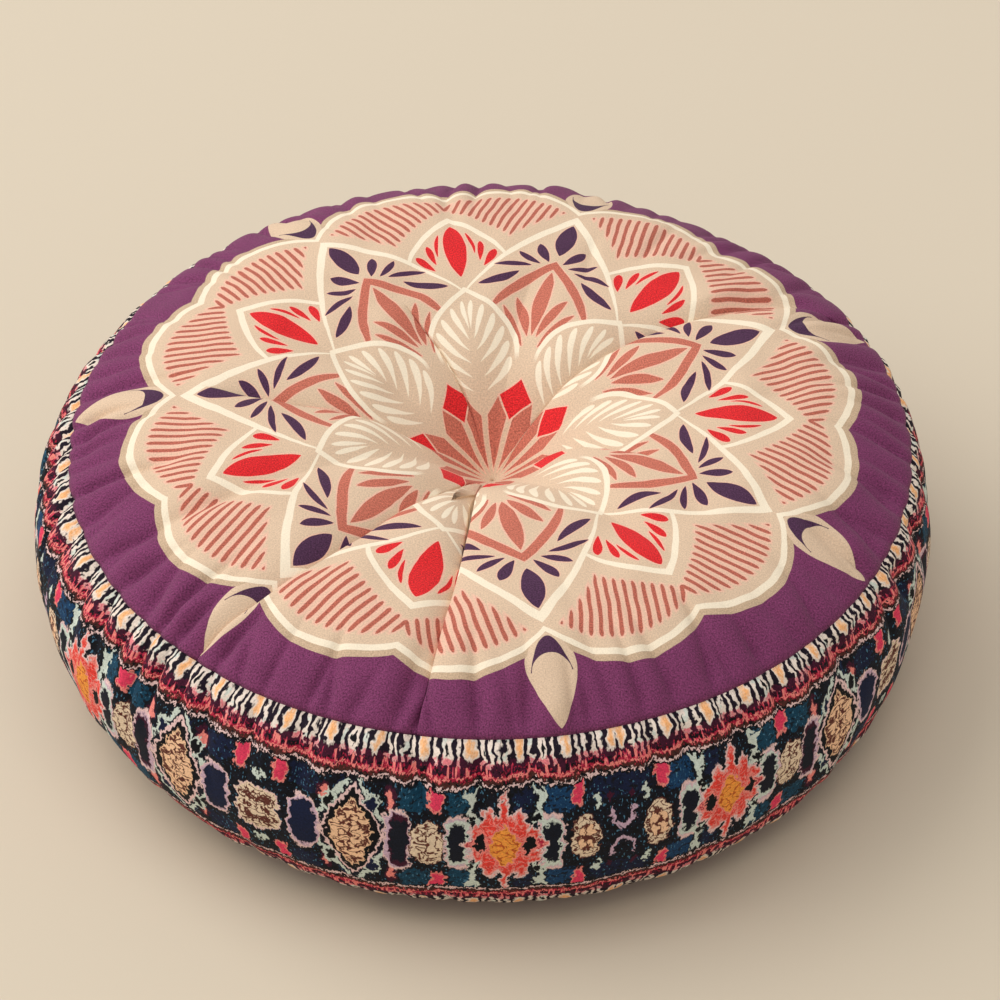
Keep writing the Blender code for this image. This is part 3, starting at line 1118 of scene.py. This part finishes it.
    # Star round the tuft
    kite = low((on_kite[0] - KITE_FOOT) * KITE_OPENING, (KITE_TIP - on_kite[0]) * KITE_CLOSING)
    kite = kite - on_kite[1]
    top.lay(BLUSH, kite + 0.5, STAR_HALO_EDGE)
    top.lay(CORAL, kite)
    slope = DIAMOND_HALF_WIDTH / DIAMOND_HALF_LENGTH
    diamond = DIAMOND_HALF_WIDTH - abs(along - DIAMOND_AT) * slope - across
    top.lay(BLUSH, diamond + 1.1, STAR_HALO_EDGE)
    top.lay(RED, diamond)
    return top.colour


# ---------------------------------------------------------------------------------------------
# Band print: an old carpet border, four repeats round the cushion and mirrored both ways.
# "around" runs in millimetres from one axis of a repeat to the next, and "off_middle" is the
# distance from the band's middle line, up to HALF_BAND at either seam.
# ---------------------------------------------------------------------------------------------
BAND_RADIUS = 0.285
REPEATS = 4
BORDER_AXIS = math.radians(-74.0)
HALF_BAND = 82.0
PRINT_MIDDLE = 8.0              # how far above the band's own middle the print's middle lies
UPPER_PRINT_STRETCH = HALF_BAND / (HALF_BAND - PRINT_MIDDLE)
LOWER_PRINT_STRETCH = 1.02

NIGHT = linear(16, 20, 34)
NAVY = linear(18, 27, 56)
BLUE = linear(18, 60, 98)
TEAL = linear(14, 62, 86)
SKY = linear(84, 138, 168)
INK = linear(9, 9, 15)
PLUM_BLACK = linear(24, 13, 28)
MAROON = linear(64, 16, 40)
CRIMSON = linear(176, 34, 62)
HOT_PINK = linear(228, 62, 96)
SALMON = linear(240, 138, 128)
ROSE_WHITE = linear(236, 200, 196)
MAUVE = linear(202, 170, 188)
MINT = linear(208, 218, 206)
SAND = linear(236, 212, 182)
PEACH = linear(248, 202, 162)
BROWN = linear(98, 50, 42)
VERMILION = linear(232, 66, 56)
ORANGE = linear(244, 158, 66)
RUST = linear(196, 88, 40)
LINT = linear(236, 219, 204)

KNOT_EDGE = 0.5
NARROWEST_VEINED = 3.0
# Colour of the fine lines that wander over the marks of a colour
VEINS = {SAND: BROWN, PEACH: BROWN, VERMILION: SALMON, ORANGE: RUST, CRIMSON: SALMON}

# One knotted mark of the border and the line round it. "power" shapes it: 1 is a diamond, 2 an
# oval and more a block with ever squarer corners.
Mark = namedtuple("Mark", "around off_middle half_wide half_tall power colour rim rim_colour",
                  defaults=(0, None))
COLOUR_BLOCKS = (
    Mark(0, 41, 19, 9, 8, NAVY),
    Mark(38, 39, 8.5, 10.5, 8, BLUE),
    Mark(60, 40, 5.5, 9, 6, NAVY),
    Mark(98, 40, 8, 10, 8, TEAL),
    Mark(126, 40, 8.5, 10, 8, TEAL),
    Mark(168, 42, 6, 8, 6, NAVY),
    Mark(194, 40, 10, 9.5, 6, NAVY),
)
BORDER_MARKS = (
    Mark(26.5, 43, 3.0, 9.0, 3, HOT_PINK, 1.0, SALMON),
    Mark(113, 43, 3.6, 8.5, 4, HOT_PINK, 1.0, SALMON),
    Mark(210.5, 42, 3.4, 8.5, 4, HOT_PINK, 1.0, SALMON),
    Mark(140.5, 35, 2.2, 8.0, 2, SALMON, 1.4, MAROON),
    Mark(180.5, 36, 2.8, 6.5, 1.6, SALMON, 1.6, MAROON),
    # web of pale lines round the pointed rosette
    Mark(164, 0, 26, 54, 1, NIGHT, 3.2, MINT),
    Mark(152, 30, 3.4, 7.5, 1.6, NAVY, 1.4, MINT),
    Mark(178, 29, 3.2, 7.0, 1.6, INK, 1.4, MINT),
    Mark(164, 0, 18, 42, 1.2, INK, 2.0, ROSE_WHITE),
    # cells
    Mark(43.5, 0, 6.6, 25, 5, MAUVE, 0.8, ROSE_WHITE),
    Mark(43.5, 0, 5.0, 20, 6, NIGHT, 1.0, MINT),
    Mark(100.5, 0, 6.8, 26, 4, MAUVE, 0.8, ROSE_WHITE),
    Mark(100.5, 0, 5.2, 20, 5, NIGHT, 1.0, MINT),
    Mark(136, 0, 7.4, 28, 4, MAUVE, 0.8, ROSE_WHITE),
    Mark(135, 0, 5.0, 22, 5, NIGHT, 1.0, MAROON),
    Mark(194, 0, 9.8, 24, 2.6, MAUVE, 0.8, ROSE_WHITE),
    Mark(194, 0, 7.4, 20, 3, NAVY, 0.6, NIGHT),
    # tan flower heads
    Mark(22.8, 0, 8.8, 21, 2.0, SAND, 0.6, BROWN),
    Mark(22.8, 0, 5.6, 13.5, 2.4, BROWN),
    Mark(20.2, 6, 2.0, 5.2, 2.2, PEACH),
    Mark(25.4, 6, 2.0, 5.2, 2.2, PEACH),
    Mark(118, 0, 9.4, 21, 2.4, SAND, 0.6, BROWN),
    Mark(118, 4.5, 0.8, 4.0, 2, BROWN),
    Mark(115, 9, 1.6, 1.6, 1.4, BROWN),
    Mark(121, 9, 1.6, 1.6, 1.4, BROWN),
    Mark(164, 0, 13.0, 34, 1.4, PEACH, 1.4, INK),
    Mark(160, 11, 1.5, 3.0, 1.6, BROWN),
    Mark(168, 11, 1.5, 3.0, 1.6, BROWN),
    Mark(164, 0, 1.2, 6.0, 1.6, BROWN),
    Mark(223.8, 0, 13.5, 20, 4, SAND, 0.8, ROSE_WHITE),
    Mark(217.5, 9, 3.2, 3.0, 3, BROWN),
    Mark(223.8, 9, 1.6, 3.0, 3, BROWN),
    Mark(218, 0, 3.0, 2.2, 3, BROWN),
    # flecks
    Mark(15.4, 35, 2.3, 4.5, 1.4, MINT),
    Mark(15.4, 28.5, 1.5, 3.5, 1.4, MINT),
    Mark(8.0, 33, 1.6, 4.5, 1.4, MAROON),
    Mark(223.8, 33.5, 4.4, 4.2, 2, MINT),
    Mark(223.8, 36, 0.8, 3.0, 2, INK),
)
MEDALLION_AT = 72.0
# The big medallion's marks are placed from its own middle, and it is the same on both sides.
MEDALLION_OUTLINE = (
    Mark(0, 0, 4.6, 52, 1.2, SALMON),
    Mark(0, 0, 16.5, 30, 1.5, SALMON),
    Mark(9.5, 21, 4.6, 13, 1.6, SALMON),
    Mark(0, 0, 26.0, 14, 1.2, SALMON),
    Mark(16, 11, 5.0, 6.5, 1.8, SALMON),
)
MEDALLION_MARKS = (
    Mark(0, 0, 23.0, 11.5, 1.3, CRIMSON),
    Mark(0, 0, 14.5, 27, 1.5, VERMILION, 0.9, SALMON),
    Mark(16, 11, 3.6, 4.8, 1.8, VERMILION, 0.5, SALMON),
    Mark(9.5, 19, 3.4, 10, 1.8, VERMILION, 0.8, SALMON),
    Mark(0, 0, 3.2, 46, 1.2, VERMILION, 0.5, SALMON),
    Mark(0, 0, 8.8, 21, 1.3, ORANGE, 1.0, SALMON),
    Mark(14.4, 0, 3.8, 9.5, 1.1, INK, 1.5, SALMON),
)
# Forked bow ties, and the black knot below each
BOW_TIES = (50.5, 91.5)
BOW_WAIST = 34.0
BOW_HALF_TALL = 12.0
BOW_KNOT = Mark(1, 25, 2.2, 3.6, 1.8, INK)
# C shape on the first axis: how wide and tall its ring is, and where it is cut open
HOOK_HALF_WIDE, HOOK_HALF_TALL, HOOK_AT, HOOK_OPEN_AT = 6.8, 15.0, 21.0, 23.0

# Rows of the border, in millimetres off its middle
PALE_STRIPE, BROWN_STRIPE, GLOWING_STRIPE = 53.0, 56.6, 60.2
STRIPES_FROM, COMB_FROM = 50.0, 67.0
MAROON_FROM, CRIMSON_FROM = 63.6, 65.0
TRICKLE_FROM, TRICKLE_TO = 60.5, 71.0
COMB_FOOT, TEETH_FROM, BLUSHING_TO = 71.0, 67.5, 70.5
CLEFT_AT = 76.0

# Teeth of the comb beside either seam: place within a period, and half width
COMB_PERIOD = 29.84
COMB_START = 11.9
COMB_TEETH = ((0.0, 2.9), (7.3, 1.2), (22.5, 1.15), (27.4, 1.1))
COMB_LOZENGE = Mark(14.92, 78, 3.6, 8.6, 2.4, LINT)


def carpet_border(tree, place, knotted):
    """Colour of the band's print. The place is on the band's own drum, in millimetres."""
    x, y, z = parted(tree, place)
    bearing = worked(tree, "ARCTAN2", y, x) - BORDER_AXIS
    half_turn = math.pi / REPEATS
    smooth_around = abs(wrapped(bearing, -half_turn, half_turn)) * (BAND_RADIUS / MM)
    smooth_off = abs(z)

    # Each knot of the old carpet sits a little off its row, which leaves ragged edges
    upright = placed_vector(tree, "MULTIPLY", place, (1.0, 1.0, 0.42))
    running = placed_vector(tree, "MULTIPLY", place, (1.0, 1.0, 0.12))
    slow = noise_numbers(tree, place, 0.15, 0.5)
    knots = noise_numbers(tree, upright, 0.50, 0.6)
    blotch = noise_number(tree, place, 0.30, 3.0, 0.6)
    thread = noise_number(tree, upright, 0.9, 2.0, 0.6)
    flecks = noise_number(tree, upright, 0.75, 1.0)
    bent_around = smooth_around + slow[0] * 10.0
    bent_off = smooth_off + slow[1] * 8.0
    around = abs(bent_around + knots[0] * 5.0)
    off_middle = bent_off + knots[1] * 10.0
    mirrored = joined(tree, bent_around, bent_off)
    vein = inside(0.043 - abs(noise_number(tree, mirrored, 0.17, 1.0)), 0.03)

    def mark_depth(mark, beside=around, above=off_middle):
        sizes = (mark.around, mark.off_middle, mark.half_wide, mark.half_tall, mark.power)
        return placed(tree, knotted, beside, above, *[float(size) for size in sizes])

    def lay_mark(cloth, mark, beside=around):
        depth = mark_depth(mark, beside)
        if mark.rim:
            cloth.lay(mark.rim_colour, depth + mark.rim)
        cloth.lay(mark.colour, depth)
        if mark.colour in VEINS and mark.half_wide > NARROWEST_VEINED:
            cloth.lay(VEINS[mark.colour], depth - 0.8, share=vein)

    field = Print(tree, NIGHT, KNOT_EDGE)
    field.lay(INK, blotch, 0.2)
    for mark in COLOUR_BLOCKS:
        lay_mark(field, mark)
    field.lay(INK, blotch - 0.07, 0.06, 0.85)
    field.lay(SKY, flecks - 0.17, 0.05, 0.7)
    for mark in BORDER_MARKS:
        lay_mark(field, mark)

    wide, tall = around / HOOK_HALF_WIDE, (off_middle - HOOK_AT) / HOOK_HALF_TALL
    ring = (wide * wide + tall * tall) ** 0.5 - 1.0
    field.lay(MAUVE, low(1.1 - abs(ring * 7.0), HOOK_OPEN_AT - off_middle))

    for at in BOW_TIES:
        aside = abs(around - at)
        from_waist = abs(off_middle - BOW_WAIST)
        fork = BOW_HALF_TALL - from_waist + aside * 1.2
        field.lay(MINT, low(1.3 + from_waist * 0.20 - aside, fork))
        lay_mark(field, BOW_KNOT._replace(around=at + BOW_KNOT.around))

    aside = abs(around - MEDALLION_AT)
    outline = deepest([mark_depth(mark, aside) for mark in MEDALLION_OUTLINE])
    field.lay(ROSE_WHITE, outline + 0.8)
    field.lay(SALMON, outline - 0.3)
    for mark in MEDALLION_MARKS:
        lay_mark(field, mark, aside)

    # Stripes between the field and the comb, ragged and broken
    edge = smooth_off + slow[1] * 5.0
    frayed = edge + knots[1] * 10.0 + thread * 5.0
    stripes = Print(tree, INK, KNOT_EDGE)
    stripes.lay(BROWN, 1.6 - abs(frayed - BROWN_STRIPE) + blotch * 12.0, 0.8, 0.6)
    stripes.lay(ROSE_WHITE, low(1.1 - abs(frayed - PALE_STRIPE), blotch * 40.0 + 2.0))
    glow = 0.9 - abs(frayed - GLOWING_STRIPE) + thread * 6.0
    stripes.lay(CRIMSON, glow + 1.1, 0.8)
    stripes.lay(SALMON, glow - 0.2 + blotch * 9.0, 0.6)
    stripes.lay(MAROON, frayed - MAROON_FROM + blotch * 22.0, 0.8)
    stripes.lay(CRIMSON, low(frayed - CRIMSON_FROM, thread * 14.0 + slow[2] * 10.0 - 1.6), 0.8)
    trickle = noise_number(tree, running, 0.45, 1.0) * 14.0 - 1.0
    trickle = low(low(trickle, frayed - TRICKLE_FROM), TRICKLE_TO - frayed)
    stripes.lay(HOT_PINK, trickle, 0.6, 0.8)
    stripes.lay(SALMON, trickle - 0.6)
    field.lay(stripes.colour, off_middle - STRIPES_FROM)

    # Comb of pale teeth and lozenges, dripping into the stripes
    along = smooth_around + slow[2] * 10.0 + knots[2] * 2.2 + COMB_START
    along = worked(tree, "PINGPONG", along, COMB_PERIOD)
    comb_off = edge + knots[1] * 8.0
    drip = slow[0] * 16.0 + thread * 10.0
    teeth = deepest([half - abs(along - at) for at, half in COMB_TEETH]) + thread * 1.6
    teeth = low(teeth, (comb_off - TEETH_FROM + drip) * 0.6)
    lozenge = mark_depth(COMB_LOZENGE, along, comb_off)
    comb = Print(tree, PLUM_BLACK, KNOT_EDGE)
    comb.lay(MAROON, COMB_FOOT - comb_off + thread * 6.0, 0.6)
    comb.lay(LINT, teeth)
    comb.lay(MINT, low(teeth, slow[1] * 20.0 - 1.8), 0.8, 0.8)
    comb.lay(HOT_PINK, low(teeth, BLUSHING_TO - comb_off + drip * 0.6), 1.5, 0.75)
    comb.lay(INK, 1.5 - along - abs(comb_off - CLEFT_AT) * 0.34)
    comb.lay(LINT, lozenge)
    comb.lay(PEACH, lozenge - 1.0 + thread * 2.0, 0.8)
    comb.lay(ORANGE, lozenge - 2.1 + thread * 6.0, 1.6, 0.6)
    field.lay(comb.colour, comb_off - COMB_FROM + drip * 0.4)
    return field.colour


# ---------------------------------------------------------------------------------------------
# Materials
# ---------------------------------------------------------------------------------------------
# "size" of the nap in millimetres, its "relief", and how strongly it breaks the colour up, where the
# print is dark and where it is pale
Nap = namedtuple("Nap", "size relief in_dark in_pale")
PEBBLY_NAP = Nap(0.95, 0.6, 1.3, 0.13)
BAND_NAP = Nap(1.2, 0.4, 0.6, 0.3)
NAP_HEIGHT = 0.9 * MM
PRINT_WANDER = 3.0              # millimetres that the rosette strays from true
WANDER_WAVELENGTH = 26.0


def nap_group():
    """Pebbly nap of the cloth: its height, and how the colour varies with it."""
    tree, (place, size) = new_group("pebble nap", ("Place", "Grain Size"), ("Height", "Mottle"))
    scale = worked(tree, "DIVIDE", 1.0, size)
    fine = Number(tree, noise_value(tree, place, scale, 3.0, 0.62))
    broad = Number(tree, noise_value(tree, place, scale * 0.05))
    spotted = worked(tree, "MULTIPLY_ADD", fine - 0.5, 3.2, 0.5, clamp=True)
    return finish_group(tree, fine, spotted * 0.8 + broad * 0.2)


def new_material(name, finish):
    """A material and its node tree and shader, with plain values for the shader's sockets."""
    material = bpy.data.materials.new(name)
    material.use_nodes = True
    shader = material.node_tree.nodes["Principled BSDF"]
    for label, value in finish.items():
        shader.inputs[label].default_value = value
    return material, material.node_tree, shader


def cut_place(tree):
    """Where the cloth lay when it was cut, in millimetres."""
    attribute = tree.nodes.new("ShaderNodeAttribute")
    attribute.attribute_type = "GEOMETRY"
    attribute.attribute_name = "cut"
    return placed_vector(tree, "SCALE", attribute.outputs["Vector"], 1.0 / MM)


def wandering(tree, place, reach, wavelength):
    """A place moved a little by slow noise, so that the print is not ruler-drawn."""
    noise = noise_value(tree, place, 1.0 / wavelength, channel="Color")
    centred = placed_vector(tree, "SUBTRACT", noise, (0.5, 0.5, 0.5))
    return placed_vector(tree, "MULTIPLY_ADD", centred, (reach, reach, 0.0), place)


def nap_finish(tree, shader, colour, grain, place, nap):
    """Colour broken up by the nap, more so where it is dark, and the nap's own relief."""
    node = tree.nodes.new("ShaderNodeGroup")
    node.node_tree = grain
    fill_socket(tree, node.inputs["Place"], place)
    node.inputs["Grain Size"].default_value = nap.size
    grey = tree.nodes.new("ShaderNodeRGBToBW")
    fill_socket(tree, grey.inputs[0], colour)
    dark = (1.0 - Number(tree, grey.outputs[0])) ** 2.0
    mottle = Number(tree, node.outputs["Mottle"]) - 0.5
    factor = mottle * (dark * nap.in_dark + nap.in_pale) + 1.0
    tree.links.new(placed_vector(tree, "SCALE", colour, factor), shader.inputs["Base Color"])
    bump = tree.nodes.new("ShaderNodeBump")
    bump.inputs["Strength"].default_value = nap.relief
    bump.inputs["Distance"].default_value = NAP_HEIGHT
    tree.links.new(node.outputs["Height"], bump.inputs["Height"])
    tree.links.new(bump.outputs[0], shader.inputs["Normal"])


TOP_FINISH = {"Roughness": 0.86, "Specular IOR Level": 0.2, "Sheen Weight": 0.07,
              "Sheen Roughness": 0.45}
BAND_FINISH = {"Roughness": 0.8, "Specular IOR Level": 0.2}
FOOT_FINISH = {"Roughness": 0.86, "Sheen Weight": 0.07}


def top_material(grain):
    material, tree, shader = new_material("rosette_peach_skin", TOP_FINISH)
    flat = cut_place(tree)
    drawn = wandering(tree, flat, PRINT_WANDER, WANDER_WAVELENGTH)
    colour = rosette(tree, drawn, leaf_group(), petal_group())
    nap_finish(tree, shader, colour, grain, flat, PEBBLY_NAP)
    return material


def band_material(grain):
    material, tree, shader = new_material("carpet_border_cloth", BAND_FINISH)
    flat = cut_place(tree)
    nap_finish(tree, shader, carpet_border(tree, flat, mark_group()), grain, flat, BAND_NAP)
    return material


def foot_material(grain):
    material, tree, shader = new_material("plain_purple_cloth", FOOT_FINISH)
    nap_finish(tree, shader, PURPLE, grain, cut_place(tree), PEBBLY_NAP)
    return material


# ---------------------------------------------------------------------------------------------
# Studio
# ---------------------------------------------------------------------------------------------
CAMERA_ELEVATION = math.radians(42.7)
CAMERA_DISTANCE = 2.96
CAMERA_LENS = 155.6
CAMERA_SENSOR = 36.0
CAMERA_AIM = Vector((0.0052, 0.0, 0.1102))
FLOOR_SIZE = 12.0
FLOOR_PAINT = {"Base Color": linear(216, 202, 180), "Roughness": 0.9}
ROOM_COLOUR = (1.0, 0.98, 0.95, 1.0)
ROOM_LIGHT = 0.5
LAMP_AIM = Vector((0.0, 0.0, 0.1))
Lamp = namedtuple("Lamp", "name place size power")
LAMPS = (
    Lamp("window", (-4.5, 1.45, 4.5), 7.0, 330.0),
    Lamp("ceiling", (0.3, -0.8, 6.0), 4.0, 78.0),
)


def aim(thing, place, target):
    thing.location = place
    thing.rotation_euler = (target - Vector(place)).to_track_quat("-Z", "Y").to_euler()


def add_camera():
    data = bpy.data.cameras.new("camera")
    data.lens = CAMERA_LENS
    data.sensor_width = CAMERA_SENSOR
    camera = linked("camera", data)
    back = Vector((0.0, -math.cos(CAMERA_ELEVATION), math.sin(CAMERA_ELEVATION)))
    aim(camera, CAMERA_AIM + CAMERA_DISTANCE * back, CAMERA_AIM)
    bpy.context.scene.camera = camera


def add_floor():
    bpy.ops.mesh.primitive_plane_add(size=FLOOR_SIZE, location=(0.0, 0.0, cad_bounds[0][2]))
    floor = bpy.context.object
    floor.name = "floor"
    floor.data.materials.append(new_material("floor_paint", FLOOR_PAINT)[0])


def add_lights():
    for lamp in LAMPS:
        data = bpy.data.lights.new(lamp.name, "AREA")
        data.size = lamp.size
        data.energy = lamp.power
        light = linked(lamp.name, data)
        light.visible_camera = False
        aim(light, lamp.place, LAMP_AIM)
    world = bpy.data.worlds.new("studio")
    world.use_nodes = True
    background = world.node_tree.nodes["Background"]
    background.inputs["Color"].default_value = ROOM_COLOUR
    background.inputs["Strength"].default_value = ROOM_LIGHT
    bpy.context.scene.world = world
    bpy.context.scene.view_settings.view_transform = "Standard"


def main():
    grain = nap_group()
    top_puff, band_puff = filling_puff()
    for piece, material, node, slot in (
            (top_piece(top_puff), top_material(grain), "top_panel", "top_cloth"),
            (band_piece(band_puff), band_material(grain), "side_band", "band_cloth"),
            (foot_piece(), foot_material(grain), "bottom_panel", "bottom_cloth")):
        piece.data.materials.append(material)
        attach(piece, "root")
        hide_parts(node)
    add_camera()
    add_floor()
    add_lights()


main()
